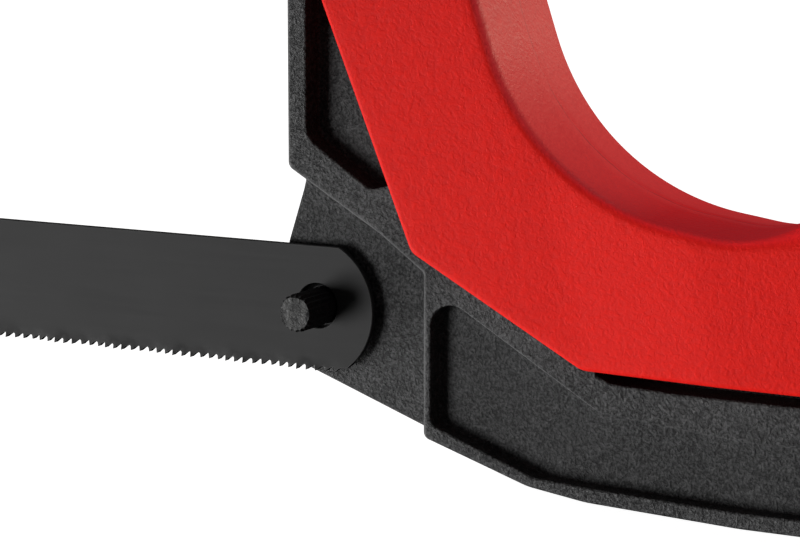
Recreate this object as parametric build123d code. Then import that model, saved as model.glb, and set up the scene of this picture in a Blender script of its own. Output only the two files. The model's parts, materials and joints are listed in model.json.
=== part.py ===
from build123d import *
import os
from math import acos, cos, radians, sin, sqrt, tan

# Hacksaw for 300 mm blades: die-cast closed handle with a soft grip moulded
# round it, rectangular steel tube as the spine, die-cast front arm, and a blade
# held between a fixed rear pin and a front pin on a screw-drawn carrier.
#
# Working axes while building: X along the blade, + towards the handle; Y across,
# 0 on the mid-plane of the castings, - on the blade's side; Z up, 0 at
# the blade's mid height. X = 0 is the centre of the blade's rear hole. Everything is
# shifted on export so that the origin is on the rear pin's axis, where the pin
# leaves the blade's outer face.

os.makedirs("parts", exist_ok=True)

# ---------------------------------------------------------------- shared dimensions
HOLE_SPAN = 300.0        # blade hole to hole
BLADE_T = 0.64           # blade thickness
BLADE_Y = -3.1           # blade's middle plane
BLADE_SEAT_Y = BLADE_Y + BLADE_T / 2     # inner face, towards the castings
BLADE_FACE_Y = BLADE_Y - BLADE_T / 2     # outer face
HOLE_Z = 0.3             # holes and pins stand this far above the blade's mid height

PIN_R = 1.9              # blade pins
PIN_PULL = 0.35          # pin centre outboard of hole centre with the blade tight
FRONT_X = -HOLE_SPAN - PIN_PULL          # front pin
REAR_X = PIN_PULL                        # rear pin

WEB = 2.1                # half thickness of the castings' web and pin boss
RIM = 5.85               # half thickness at the castings' raised rims
GRIP = 8.6               # half thickness of the soft grip and pad
SLEEVE = 7.0             # half thickness of the tube sockets

TUBE_W = 10.0            # spine tube, across
TUBE_H = 24.0            # spine tube, high
TUBE_T = 1.5             # spine tube, wall
TUBE_Z = 113.0           # spine tube, centre line
TUBE_X0 = -333.0         # front end
TUBE_X1 = 26.0           # rear end, in the handle's socket
TUBE_R = 2.0             # outer corner radius
TUBE_INNER_R = 0.6       # inner corner radius

SOCKET_TOP_Z = TUBE_Z + TUBE_H / 2 + 2.4
SOCKET_CORNER_R = 2.5
HANDLE_SOCKET_X0 = -31.0
HANDLE_SOCKET_X1 = 30.0

SCREW_R = 2.5            # M5 frame screws
SCREW_HOLE_R = SCREW_R + 0.1
ARM_SCREW_X = (-322.5, -303.5)
HANDLE_SCREW_X = (-22.0, 14.0)
SCREW_X = ARM_SCREW_X + HANDLE_SCREW_X
HEAD_R = 4.6
HEAD_H = 2.2
NUT_AF = 8.0             # frame nut, across flats
NUT_H = 3.0

ARM_X0 = -331.0          # front face of the front arm
ARM_SLEEVE_X1 = -311.0   # rear face of the arm's carrier sleeve
BUSH_R = 6.5             # carrier bush, outside
THREAD_R = 2.95          # M6 draw thread, plain stand-in
RUN = 0.05               # running clearance, per side
WASHER_T = 1.6           # thrust washer

SHIFT = Location((-REAR_X, -BLADE_FACE_Y, -HOLE_Z))
PULL = Location((0, 0, HOLE_Z))          # lifts the draw mechanism on to the pull line


# ---------------------------------------------------------------- helpers
def rounded_face(points, place):
    """Face of an outline; points are (a, b) or (a, b, corner radius), place maps a, b to 3D."""
    spots = [place(point[0], point[1]) for point in points]
    count = len(spots)
    corners = []
    for i, corner in enumerate(spots):
        radius = points[i][2] if len(points[i]) > 2 else 0.0
        if radius <= 0:
            corners.append([corner])
            continue
        back = (spots[i - 1] - corner).normalized()
        ahead = (spots[(i + 1) % count] - corner).normalized()
        half_angle = acos(back.dot(ahead)) / 2
        reach = radius / tan(half_angle)
        middle = corner + (back + ahead).normalized() * (radius / sin(half_angle) - radius)
        corners.append([corner + back * reach, middle, corner + ahead * reach])
    edges = []
    for i, corner in enumerate(corners):
        if len(corner) == 3:
            edges.append(Edge.make_three_point_arc(*corner))
        following = corners[(i + 1) % count][0]
        if (following - corner[-1]).length > 1e-6:
            edges.append(Edge.make_line(corner[-1], following))
    return Face(Wire(edges))


def side_face(points, y):
    """Face of a side-view (X, Z) outline in a Y plane."""
    return rounded_face(points, lambda a, b: Vector(a, y, b))


def side_prism(points, y0, y1):
    """Prism of a side-view (X, Z) outline between two Y planes."""
    return Solid.extrude(side_face(points, y0), Vector(0, y1 - y0, 0))


def front_prism(points, x0, x1):
    """Prism of a front-view (Y, Z) outline between two X planes."""
    face = rounded_face(points, lambda a, b: Vector(x0, a, b))
    return Solid.extrude(face, Vector(x1 - x0, 0, 0))


def x_rod(x0, x1, radius, z=0.0):
    """Cylinder along X on the mid-plane."""
    return Solid.make_cylinder(radius, x1 - x0, Plane(origin=(x0, 0, z), z_dir=(1, 0, 0)))


def y_rod(x, z, y0, y1, radius):
    """Cylinder across, from y0 to y1."""
    plane = Plane(origin=(x, y0, z), z_dir=(0, 1 if y1 > y0 else -1, 0))
    return Solid.make_cylinder(radius, abs(y1 - y0), plane)


def rectangle(a0, b0, a1, b1, radius=0.0):
    return [(a0, b0, radius), (a1, b0, radius), (a1, b1, radius), (a0, b1, radius)]


def hexagon(across_flats, centre_a=0.0, centre_b=0.0, turn=0.0):
    """Corners of a hexagon, turned by an angle in degrees."""
    radius = across_flats / 2 / cos(radians(30))
    angles = [radians(60 * i + turn) for i in range(6)]
    return [(centre_a + radius * cos(angle), centre_b + radius * sin(angle)) for angle in angles]


def one(shape):
    """The largest solid of a boolean's result."""
    return max(shape.solids(), key=lambda solid: solid.volume)


def bore(shape, x, z, radius):
    """Round hole across, clear through the shape."""
    return one(shape - y_rod(x, z, -30, 30, radius))


def screw_holes(shape, places, radius=SCREW_HOLE_R):
    for x in places:
        shape = bore(shape, x, TUBE_Z, radius)
    return shape


def x_ring(x0, x1, outer, inner):
    return one(x_rod(x0, x1, outer) - x_rod(x0, x1, inner))


def tube_bar(x0, x1, inset=0.0, radius=TUBE_R):
    """Bar of the spine tube's section, inset on all sides."""
    half_w, half_h = TUBE_W / 2 - inset, TUBE_H / 2 - inset
    return front_prism(rectangle(-half_w, TUBE_Z - half_h, half_w, TUBE_Z + half_h, radius), x0, x1)


def tube_socket(x0, x1, below):
    """Solid block round the tube, reaching the given distance below it."""
    bottom = TUBE_Z - TUBE_H / 2 - below
    return front_prism(rectangle(-SLEEVE, bottom, SLEEVE, SOCKET_TOP_Z, SOCKET_CORNER_R), x0, x1)


def soften(shape, edges, radii):
    """Fillet edges with the first of the given radii that works, largest first."""
    for radius in radii:
        # a fillet too large for its neighbours raises: the next radius is then used,
        # and the edges stay sharp when none works
        try:
            done = shape.fillet(radius, edges)
            if done.is_valid and done.volume > 0:
                return one(done)
        except Exception:
            pass
    return shape


def lies_at_y(item, y):
    box = item.bounding_box()
    return abs(box.min.Y - y) < 1e-3 and abs(box.max.Y - y) < 1e-3


def soften_sides(shape, half, radii, keep=lambda centre: True):
    """Fillet the edges in the planes Y = -half and Y = half whose centres are kept."""
    for y in (-half, half):
        edges = [e for e in shape.edges() if lies_at_y(e, y) and keep(e.center())]
        shape = soften(shape, edges, radii)
    return shape


def face_loops(shape, levels, inner):
    """Edges of the inner or outer loops of the flat faces in the given Y planes."""
    edges = []
    for face in shape.faces():
        if any(lies_at_y(face, y) for y in levels):
            for wire in (face.inner_wires() if inner else [face.outer_wire()]):
                edges.extend(wire.edges())
    return edges


def end_edges(shape, axis, place):
    """Edges whose centre has the given X or Y."""
    return [e for e in shape.edges() if abs(getattr(e.center(), axis) - place) < 1e-3]


def save(name, *solids):
    moved = [solid.moved(SHIFT) for solid in solids]
    shape = moved[0] if len(moved) == 1 else Compound(children=moved)
    shape.label = name
    export_step(shape, f"parts/{name}.step")


# ---------------------------------------------------------------- handle outlines
# Every side-view outline is a table of (x, z, corner radius).

# hand opening, clear through the handle
OPENING = [(26.2, 13.8, 23.7), (66.4, 7.8, 13.0), (33.0, 92.0, 15.0), (-0.1, 92.0, 9.0)]

# outside of the soft grip; the first run is its boundary across the casting
GRIP_OUT = [
    (13.2, 7.31, 1.8), (-23.5, 96.4, 7.0), (-34.0, 97.2, 1.5), (-34.0, 128.4, 2.5),
    (40.0, 129.4, 20.0), (66.0, 124.0, 9.0), (71.5, 108.0, 8.0), (66.0, 94.0, 24.0),
    (96.5, 17.0, 30.0), (101.0, 1.5, 6.0), (94.0, -2.9, 3.0), (31.2, -2.5, 2.5),
]

# raised band of the casting along the front and the bottom
BAND_OUT = [
    (-2.02, 14.4, 0.9), (4.6, 10.55, 0.0), (8.3, 8.4, 0.0), (13.1, 4.95, 0.5),
    (13.1, -11.35, 0.8), (24.4, -15.0, 6.0), (30.5, -15.85, 15.0), (46.0, -16.5, 40.0),
    (90.0, -16.5, 13.0), (102.2, 0.2, 3.0), (98.0, 4.0, 2.0), (34.0, 3.2, 6.0),
    (20.5, 9.4, 4.0), (8.5, 32.0, 0.0), (1.6, 48.6, 1.0), (-2.02, 45.6, 0.4),
]

# thin web with the rear pin boss
WEB_OUT = [
    (-1.7, 14.5, 0.0), (-2.35, 11.8, 3.0), (-4.1, 6.4, 5.0), (-5.1, 1.5, 6.0),
    (-4.7, -5.35, 1.6), (12.6, -11.6, 0.0), (22.0, -12.4, 0.0), (30.0, -5.0, 0.0),
    (26.0, 9.0, 0.0), (12.0, 30.0, 0.0), (-1.7, 40.0, 0.0),
]

# recesses in both sides of the band
UPPER_POCKET = [
    (0.25, 37.2, 0.5), (0.25, 17.45, 2.2), (7.4, 12.75, 1.3), (9.6, 13.3, 1.0),
    (10.6, 16.0, 0.6), (3.6, 33.0, 0.0), (1.9, 37.2, 0.5),
]
LOWER_POCKET = [
    (14.05, 3.72, 2.25), (14.05, -9.9, 0.9), (25.2, -13.95, 3.0), (31.0, -14.3, 10.0),
    (46.0, -14.85, 20.0), (89.0, -14.85, 3.0), (91.0, -8.2, 2.0), (46.0, -8.2, 20.0),
    (32.0, -6.95, 3.0),
]
GROOVE = [
    (31.2, -2.2, 0.0), (31.7, -3.4, 0.6), (33.2, -4.0, 1.2), (40.0, -4.3, 20.0),
    (92.0, -4.6, 1.0), (93.5, -1.0, 0.5), (31.4, -0.5, 0.5),
]

# casting under the grip: front strut, socket block, grip bar and foot
CORE_RING = [
    (13.0, 8.6, 0.0), (3.4, 38.0, 0.0), (-18.8, 97.0, 3.0), (HANDLE_SOCKET_X0, 99.4, 0.5),
    (HANDLE_SOCKET_X0, 126.6, 0.5), (36.0, 126.6, 16.0), (58.0, 121.0, 8.0),
    (62.5, 106.0, 8.0), (60.4, 94.0, 20.0), (90.5, 17.0, 24.0), (94.0, 2.0, 3.0),
    (60.0, 1.0, 0.0), (34.0, 1.0, 0.0),
]
CORE_HOLE = [(23.6, 9.6, 20.0), (71.8, 4.8, 13.0), (37.0, 96.0, 14.0), (-4.6, 96.0, 8.0)]

# palm swell on each side of the grip bar: its foot and its flat top
SWELL_FOOT = [(73.0, 20.0, 6.0), (90.5, 20.0, 8.0), (64.5, 86.0, 8.0), (44.5, 86.0, 6.0)]
SWELL_TOP = [(75.5, 25.0, 4.0), (86.0, 25.0, 5.0), (64.0, 81.0, 5.0), (51.0, 81.0, 4.0)]

# ---------------------------------------------------------------- handle casting
FLOOR_UP = 3.35          # floor of the upper pocket, from the mid-plane
FLOOR_LOW = 3.9          # floor of the lower pocket
CORE = 4.7               # half thickness of the casting under the grip


def band_edge_kept(centre):
    """Upper front edge, bottom, front step and rear tip; not where the grip covers."""
    return (
        (centre.X < 4.0 and centre.Z > 12.0)
        or centre.Z < -10.0
        or (centre.X < 14.2 and centre.Z < 14.4)
        or centre.X > 99
    )


band = soften_sides(side_prism(BAND_OUT, -RIM, RIM), RIM, (0.6, 0.5, 0.4), band_edge_kept)
for sign in (-1, 1):
    for pocket, floor in ((UPPER_POCKET, FLOOR_UP), (LOWER_POCKET, FLOOR_LOW), (GROOVE, WEB)):
        band = one(band - side_prism(pocket, sign * floor, sign * (RIM + 1)))
    band = soften(band, face_loops(band, [sign * RIM], inner=True), (0.35, 0.25))
    floors = [sign * FLOOR_UP, sign * FLOOR_LOW]
    band = soften(band, face_loops(band, floors, inner=False), (0.3, 0.2))

web = soften_sides(
    side_prism(WEB_OUT, -WEB, WEB), WEB, (0.4, 0.3),
    lambda centre: centre.X < 12.0 and -11.1 < centre.Z < 14.0,
)
core = one(side_prism(CORE_RING, -CORE, CORE) - side_prism(CORE_HOLE, -CORE - 1, CORE + 1))
socket = tube_socket(HANDLE_SOCKET_X0, HANDLE_SOCKET_X1, below=3.0)

casting = one(core + band + web + socket)
casting = one(casting - tube_bar(-40.0, TUBE_X1))
casting = bore(casting, REAR_X, HOLE_Z, PIN_R)
casting = screw_holes(casting, HANDLE_SCREW_X)
save("handle_casting", casting)

# ---------------------------------------------------------------- soft grip
SWELL = 11.8             # half thickness at the palm swell
SWELL_SINK = 0.4         # the swell starts this far under the grip's side

grip = one(side_prism(GRIP_OUT, -GRIP, GRIP) - side_prism(OPENING, -GRIP - 5, GRIP + 5))
for y in (-GRIP, GRIP):
    grip = soften(grip, face_loops(grip, [y], inner=True), (0.8, 0.6, 0.5))
    grip = soften(grip, face_loops(grip, [y], inner=False), (0.6, 0.4))
for sign in (-1, 1):
    foot = side_face(SWELL_FOOT, sign * (GRIP - SWELL_SINK))
    top = side_face(SWELL_TOP, sign * SWELL)
    grip = one(grip + Solid.make_loft([foot.outer_wire(), top.outer_wire()]))
# the tube enters through the grip's front end, and the screws stay reachable
grip = one(grip - tube_bar(-50.0, 0.0))
grip = screw_holes(grip, HANDLE_SCREW_X, HEAD_R + 1.0)
grip = one(grip - casting)
save("handle_grip", grip)

# ---------------------------------------------------------------- spine tube and its end cap
tube = tube_bar(TUBE_X0, TUBE_X1)
tube = one(tube - tube_bar(TUBE_X0 - 1, TUBE_X1 + 1, TUBE_T, TUBE_INNER_R))
save("frame_tube", screw_holes(tube, SCREW_X))

CAP_T = 2.6              # cap's plate, in front of the tube
PLUG_L = 5.0             # hollow plug inside the tube
PLUG_T = 1.2             # plug's wall

cap = tube_bar(TUBE_X0 - CAP_T, TUBE_X0)
cap = soften(cap, end_edges(cap, "X", TUBE_X0 - CAP_T), (1.2, 0.8))
plug = one(tube_bar(TUBE_X0, TUBE_X0 + PLUG_L, TUBE_T, TUBE_INNER_R)
           - tube_bar(TUBE_X0, TUBE_X0 + PLUG_L + 1, TUBE_T + PLUG_T, 0.4))
save("tube_end_cap", one(cap + plug))

# ---------------------------------------------------------------- frame screws, nuts and spacers
HEAD_Y = -SLEEVE - HEAD_H    # outer face of the screw heads
KEY_AF = 3.0                 # hexagon socket, across flats
KEY_DEPTH = 1.7
SCREW_END = 0.8              # screw stands out of its nut
SPACER_R = 4.2


def frame_screw(x):
    shank = y_rod(x, TUBE_Z, -SLEEVE, SLEEVE + NUT_H + SCREW_END, SCREW_R)
    head = y_rod(x, TUBE_Z, -SLEEVE, HEAD_Y, HEAD_R)
    head = soften(head, end_edges(head, "Y", HEAD_Y), (1.6, 1.2))
    key = side_prism(hexagon(KEY_AF, x, TUBE_Z), HEAD_Y - 1, HEAD_Y + KEY_DEPTH)
    return one(one(shank + head) - key)


def frame_nut(x):
    nut = side_prism(hexagon(NUT_AF, x, TUBE_Z, 30), SLEEVE, SLEEVE + NUT_H)
    return bore(nut, x, TUBE_Z, SCREW_R + 0.02)


def tube_spacer(x):
    """Bush round a screw, between the tube's inner walls."""
    half = TUBE_W / 2 - TUBE_T
    return bore(y_rod(x, TUBE_Z, -half, half, SPACER_R), x, TUBE_Z, SCREW_HOLE_R)


save("frame_screws", *(frame_screw(x) for x in SCREW_X))
save("frame_nuts", *(frame_nut(x) for x in SCREW_X))
save("tube_spacers", *(tube_spacer(x) for x in SCREW_X))

# ---------------------------------------------------------------- blade pins and seat washers
PIN_NECK_R = 1.70        # relieved neck where the blade hooks
PIN_TIP_Y = -8.50        # free end of the pins
PIN_CHAMFER = 0.35       # on the free end
COLLAR_R = 3.3           # seat washer behind the blade
COLLAR_GAP = 0.04        # blade stands this far off its seat washer


def blade_pin(x):
    """Straight pin with a relieved neck in the blade's thickness."""
    root = y_rod(x, HOLE_Z, WEB, BLADE_SEAT_Y, PIN_R)
    neck = y_rod(x, HOLE_Z, BLADE_SEAT_Y, BLADE_FACE_Y, PIN_NECK_R)
    tip = y_rod(x, HOLE_Z, BLADE_FACE_Y, PIN_TIP_Y, PIN_R)
    tip = tip.chamfer(PIN_CHAMFER, None, end_edges(tip, "Y", PIN_TIP_Y))
    return one(root + neck + tip)


def seat_washer(x):
    disc = y_rod(x, HOLE_Z, -WEB, BLADE_SEAT_Y + COLLAR_GAP, COLLAR_R)
    return bore(disc, x, HOLE_Z, PIN_R)


for end, x in (("rear", REAR_X), ("front", FRONT_X)):
    save(f"{end}_blade_pin", blade_pin(x))
    save(f"{end}_seat_washer", seat_washer(x))

# ---------------------------------------------------------------- front arm casting
ARM_SLEEVE_R = 9.5       # outside of the carrier sleeve
ARM_SOCKET_X1 = -294.0   # rear end of the tube socket

# (x, z, corner radius)
ARM_OUT = [
    (ARM_X0, HOLE_Z - ARM_SLEEVE_R, 3.0), (ARM_SLEEVE_X1, HOLE_Z - ARM_SLEEVE_R, 1.5),
    (ARM_SLEEVE_X1, 10.5, 4.0), (-305.5, 42.0, 40.0), (-303.5, 84.0, 14.0),
    (ARM_SOCKET_X1, 98.0, 1.5), (ARM_SOCKET_X1, SOCKET_TOP_Z, 1.5), (ARM_X0, SOCKET_TOP_Z, 2.5),
]
ARM_POCKET_LOW = [
    (-328.0, 14.0, 1.5), (-313.4, 14.0, 1.5), (-308.9, 39.5, 1.0), (-328.0, 50.0, 1.5),
]
ARM_POCKET_HIGH = [
    (-328.0, 53.6, 1.5), (-308.4, 43.2, 1.0), (-306.9, 80.0, 12.0), (-302.2, 93.5, 2.0),
    (-328.0, 93.5, 2.0),
]

arm = soften_sides(side_prism(ARM_OUT, -RIM, RIM), RIM, (0.7, 0.6, 0.5))
for sign in (-1, 1):
    for pocket in (ARM_POCKET_LOW, ARM_POCKET_HIGH):
        arm = one(arm - side_prism(pocket, sign * WEB, sign * (RIM + 1)))
arm_socket = tube_socket(ARM_X0, ARM_SOCKET_X1, below=2.6)
arm_sleeve = x_rod(ARM_X0, ARM_SLEEVE_X1, ARM_SLEEVE_R, HOLE_Z)
arm_sleeve = soften(arm_sleeve, end_edges(arm_sleeve, "X", ARM_SLEEVE_X1), (1.2, 0.8))
arm = one(arm + arm_socket + arm_sleeve)
arm = one(arm - tube_bar(TUBE_X0 - 5, -280.0))
arm = one(arm - x_rod(ARM_X0 - 1, ARM_SLEEVE_X1 + 1, BUSH_R, HOLE_Z))
arm = screw_holes(arm, ARM_SCREW_X)
save("front_arm", arm)

# soft pad for the leading hand, wrapped round the arm's front edge; (x, z, corner radius)
PAD_OUT = [
    (-334.6, 24.0, 6.0), (-330.5, 21.0, 1.0), (-319.0, 21.0, 5.0), (-315.5, 34.0, 30.0),
    (-315.5, 84.0, 14.0), (-322.0, 95.5, 2.0), (-334.6, 95.5, 3.0),
]
pad = soften_sides(side_prism(PAD_OUT, -GRIP, GRIP), GRIP, (2.4, 1.8, 1.2))
save("front_arm_pad", one(pad - arm))

# ---------------------------------------------------------------- blade carrier
# The draw mechanism is built on Z = 0 and lifted by PULL when saved.
SHANK = 8.0                      # carrier's square shank
SHANK_X0 = ARM_X0 + 0.6          # shank's front shoulder, inside the bush
HEAD_X0 = ARM_SLEEVE_X1 + 2.0    # head's shoulder; room for more draw
HEAD_X1 = FRONT_X + 6.4
HEAD_HALF = 6.1                  # half height of the head
THREAD_X0 = ARM_X0 - WASHER_T - 13.5
RING_X0 = THREAD_X0 + 1.6        # front face of the stop ring's groove
RING_GROOVE_W = 1.0
RING_GROOVE_R = 2.3              # bottom of the groove

slide = SHANK / 2 + RUN
bush = x_rod(ARM_X0, ARM_SLEEVE_X1, BUSH_R)
bush = one(bush - front_prism(
    rectangle(-slide, -slide, slide, slide), ARM_X0 - 1, ARM_SLEEVE_X1 + 1))
save("carrier_bush", bush.moved(PULL))

head_out = [
    (HEAD_X0, -HEAD_HALF, 1.5), (HEAD_X1, -HEAD_HALF, 4.5),
    (HEAD_X1, HEAD_HALF, 4.5), (HEAD_X0, HEAD_HALF, 1.5),
]
carrier_head = soften_sides(side_prism(head_out, -WEB, WEB), WEB, (0.5, 0.3))
shank = front_prism(
    rectangle(-SHANK / 2, -SHANK / 2, SHANK / 2, SHANK / 2, 0.5), SHANK_X0, HEAD_X0 + 1.2)
thread = x_rod(THREAD_X0, SHANK_X0 + 0.5, THREAD_R)
thread = thread.chamfer(0.6, None, end_edges(thread, "X", THREAD_X0))
carrier = one(carrier_head + shank + thread)
carrier = bore(carrier, FRONT_X, 0, PIN_R)
carrier = one(carrier - x_ring(RING_X0, RING_X0 + RING_GROOVE_W, THREAD_R + 1, RING_GROOVE_R))
save("blade_carrier", carrier.moved(PULL))

# stop ring near the thread's end, its gap opening upwards; gap table is (y, z)
RING_GAP = [(-1.6, 0.0), (1.6, 0.0), (1.9, 6.0), (-1.9, 6.0)]
stop_ring = x_ring(RING_X0 + 0.05, RING_X0 + 0.95, 4.4, RING_GROOVE_R + 0.02)
stop_ring = one(stop_ring - front_prism(RING_GAP, RING_X0 - 1, RING_X0 + 3))
save("carrier_stop_ring", stop_ring.moved(PULL))

washer = x_ring(ARM_X0 - WASHER_T, ARM_X0 - 0.02, 8.2, THREAD_R + 0.35)
save("thrust_washer", washer.moved(PULL))

# ---------------------------------------------------------------- tension knob
KNOB_L = 18.5
KNOB_HUB_R = 8.5
KNOB_X1 = ARM_X0 - WASHER_T - 0.06       # rear face, off the thrust washer
KNOB_X0 = KNOB_X1 - KNOB_L
WING_REACH = 15.4        # knob's reach from its axis
WING_T = 8.6
KNOB_NUT_AF = 10.0       # nut moulded into the knob, across flats
KNOB_NUT_X0 = KNOB_X1 - 6.0
KNOB_CAP_R = 6.4
KNOB_CAP_X1 = KNOB_X0 + 2.0
CAVITY_R = 5.6           # hollow between cap and nut

# (x, z, corner radius)
WINGS_OUT = [
    (KNOB_X1 - 2.5, -9.0, 2.0), (KNOB_X1 - 5.5, -WING_REACH, 3.0),
    (KNOB_X0 + 2.4, -WING_REACH, 4.5), (KNOB_X0 + 2.0, 0.0, 0.0),
    (KNOB_X0 + 2.4, WING_REACH, 4.5), (KNOB_X1 - 5.5, WING_REACH, 3.0),
    (KNOB_X1 - 2.5, 9.0, 2.0),
]

hub = x_rod(KNOB_X0, KNOB_X1, KNOB_HUB_R)
hub = soften(hub, end_edges(hub, "X", KNOB_X0), (2.0, 1.2))
hub = soften(hub, end_edges(hub, "X", KNOB_X1), (0.8, 0.5))
wings = side_prism(WINGS_OUT, -WING_T / 2, WING_T / 2)
wings = soften_sides(wings, WING_T / 2, (2.2, 1.6, 1.0))
knob_nut = front_prism(hexagon(KNOB_NUT_AF), KNOB_NUT_X0, KNOB_X1)
knob = one(hub + wings)
knob = one(knob - knob_nut)
knob = one(knob - x_rod(KNOB_CAP_X1, KNOB_NUT_X0, CAVITY_R))
knob = one(knob - x_rod(KNOB_X0 - 1, KNOB_CAP_X1, KNOB_CAP_R))
save("tension_knob", knob.moved(PULL))

knob_nut = one(knob_nut - x_rod(KNOB_X1 - 10, KNOB_X1 + 10, THREAD_R + RUN))
save("knob_nut", knob_nut.moved(PULL))

knob_cap = x_rod(KNOB_X0, KNOB_CAP_X1, KNOB_CAP_R)
knob_cap = soften(knob_cap, end_edges(knob_cap, "X", KNOB_X0), (0.6, 0.4))
save("knob_cap", knob_cap.moved(PULL))

# ---------------------------------------------------------------- blade
BLADE_H = 12.7           # blade height, back to tooth tips
HOLE_R = 2.3             # blade hole radius
END_R = 7.2              # radius of the blade's ends
END_OFFSET = 0.90        # end arc's centre, inboard of the hole
TOOTH_PITCH = 25.4 / 24  # 24 teeth to the inch
TOOTH_D = 0.55           # tooth depth
TOOTH_RAKE = 0.06        # tip stands this far behind the foot of its front face
PLAIN_REAR = 0.5         # toothless edge at the rear end
PLAIN_TOTAL = 1.4        # least toothless edge, both ends together

top_z = BLADE_H / 2
tip_z = -BLADE_H / 2
root_z = tip_z + TOOTH_D
rear_centre = -END_OFFSET
front_centre = -HOLE_SPAN + END_OFFSET
top_reach = sqrt(END_R ** 2 - top_z ** 2)
root_reach = sqrt(END_R ** 2 - root_z ** 2)
rear_root = rear_centre + root_reach
front_root = front_centre - root_reach


def on_blade(x, z):
    return Vector(x, BLADE_FACE_Y, z)


rear_top = on_blade(rear_centre + top_reach, top_z)
front_top = on_blade(front_centre - top_reach, top_z)

# toothed edge from rear to front: steep face to the front, sloping back behind the tip
x = rear_root - PLAIN_REAR
toothed = [on_blade(rear_root, root_z), on_blade(x, root_z)]
for i in range(int((rear_root - front_root - PLAIN_TOTAL) / TOOTH_PITCH)):
    x -= TOOTH_PITCH
    toothed += [on_blade(x + TOOTH_RAKE, tip_z), on_blade(x, root_z)]
toothed.append(on_blade(front_root, root_z))

outline = [
    Edge.make_line(front_top, rear_top),
    Edge.make_three_point_arc(rear_top, on_blade(rear_centre + END_R, 0), toothed[0]),
    *(Edge.make_line(start, end) for start, end in zip(toothed, toothed[1:])),
    Edge.make_three_point_arc(toothed[-1], on_blade(front_centre - END_R, 0), front_top),
]
blade = Solid.extrude(Face(Wire(outline)), Vector(0, BLADE_T, 0))
for x in (0.0, -HOLE_SPAN):
    blade = bore(blade, x, HOLE_Z, HOLE_R)
save("blade", blade)
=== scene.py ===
"""Looks of a hacksaw frame with its 300 mm blade.

The saw lies along X: handle at +X, front arm at -X, teeth towards -Z. The near side, with the
blade and the free ends of its pins, faces -Y. Shapes are drawn in working millimetres: X from the
blade's rear hole, Y from the castings' mid-plane, Z from the blade's mid height.
"""
import bpy
import bmesh
import json
import math
import numpy as np
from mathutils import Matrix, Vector
from mathutils.geometry import delaunay_2d_cdt


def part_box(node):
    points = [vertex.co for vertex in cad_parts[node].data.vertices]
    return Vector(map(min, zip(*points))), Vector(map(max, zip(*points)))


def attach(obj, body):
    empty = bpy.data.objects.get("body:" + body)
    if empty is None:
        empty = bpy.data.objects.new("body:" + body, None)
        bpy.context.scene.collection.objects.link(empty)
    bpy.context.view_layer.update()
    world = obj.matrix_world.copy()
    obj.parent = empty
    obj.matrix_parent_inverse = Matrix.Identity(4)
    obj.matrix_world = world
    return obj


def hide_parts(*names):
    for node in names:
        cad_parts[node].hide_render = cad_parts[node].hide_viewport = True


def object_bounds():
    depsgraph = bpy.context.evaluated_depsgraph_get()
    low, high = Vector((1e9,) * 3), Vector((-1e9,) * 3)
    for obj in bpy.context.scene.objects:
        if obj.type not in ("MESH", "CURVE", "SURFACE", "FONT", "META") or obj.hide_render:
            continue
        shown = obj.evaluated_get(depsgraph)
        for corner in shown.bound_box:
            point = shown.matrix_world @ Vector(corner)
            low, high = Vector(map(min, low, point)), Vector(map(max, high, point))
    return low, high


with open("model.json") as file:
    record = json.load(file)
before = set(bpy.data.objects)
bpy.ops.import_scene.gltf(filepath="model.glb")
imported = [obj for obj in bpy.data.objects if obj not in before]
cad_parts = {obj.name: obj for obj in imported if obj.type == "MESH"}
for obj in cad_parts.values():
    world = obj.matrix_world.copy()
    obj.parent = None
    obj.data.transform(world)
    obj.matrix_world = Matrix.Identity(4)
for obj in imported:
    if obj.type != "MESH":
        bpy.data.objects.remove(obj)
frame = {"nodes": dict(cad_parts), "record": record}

scene = bpy.context.scene
cad_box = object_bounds()
rng = np.random.default_rng(7)

MM = 0.001
REAR_PIN_X = 0.35       # pin axis behind the centre of the blade's rear hole
GRIP_HALF = 8.6         # half thickness of the red mouldings
PIN_ROOT_Y = 2.1        # where the pins end inside the castings

# The working origin is tied to three of the CAD pieces.
pin_low, pin_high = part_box("rear_blade_pin")
casting_low, casting_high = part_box("handle_casting")
blade_low, blade_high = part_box("blade")
ORIGIN = np.array([(pin_low.x + pin_high.x) / 2 - REAR_PIN_X * MM,
                   (casting_low.y + casting_high.y) / 2,
                   (blade_low.z + blade_high.z) / 2])
BLADE_THICK = (blade_high.y - blade_low.y) / MM
BLADE_FACE = (blade_low.y - ORIGIN[1]) / MM
HOLE_Z = ((pin_low.z + pin_high.z) / 2 - ORIGIN[2]) / MM


def to_metres(points):
    """Working millimetres to the frame's own metres."""
    return np.asarray(points, float) * MM + ORIGIN


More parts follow.
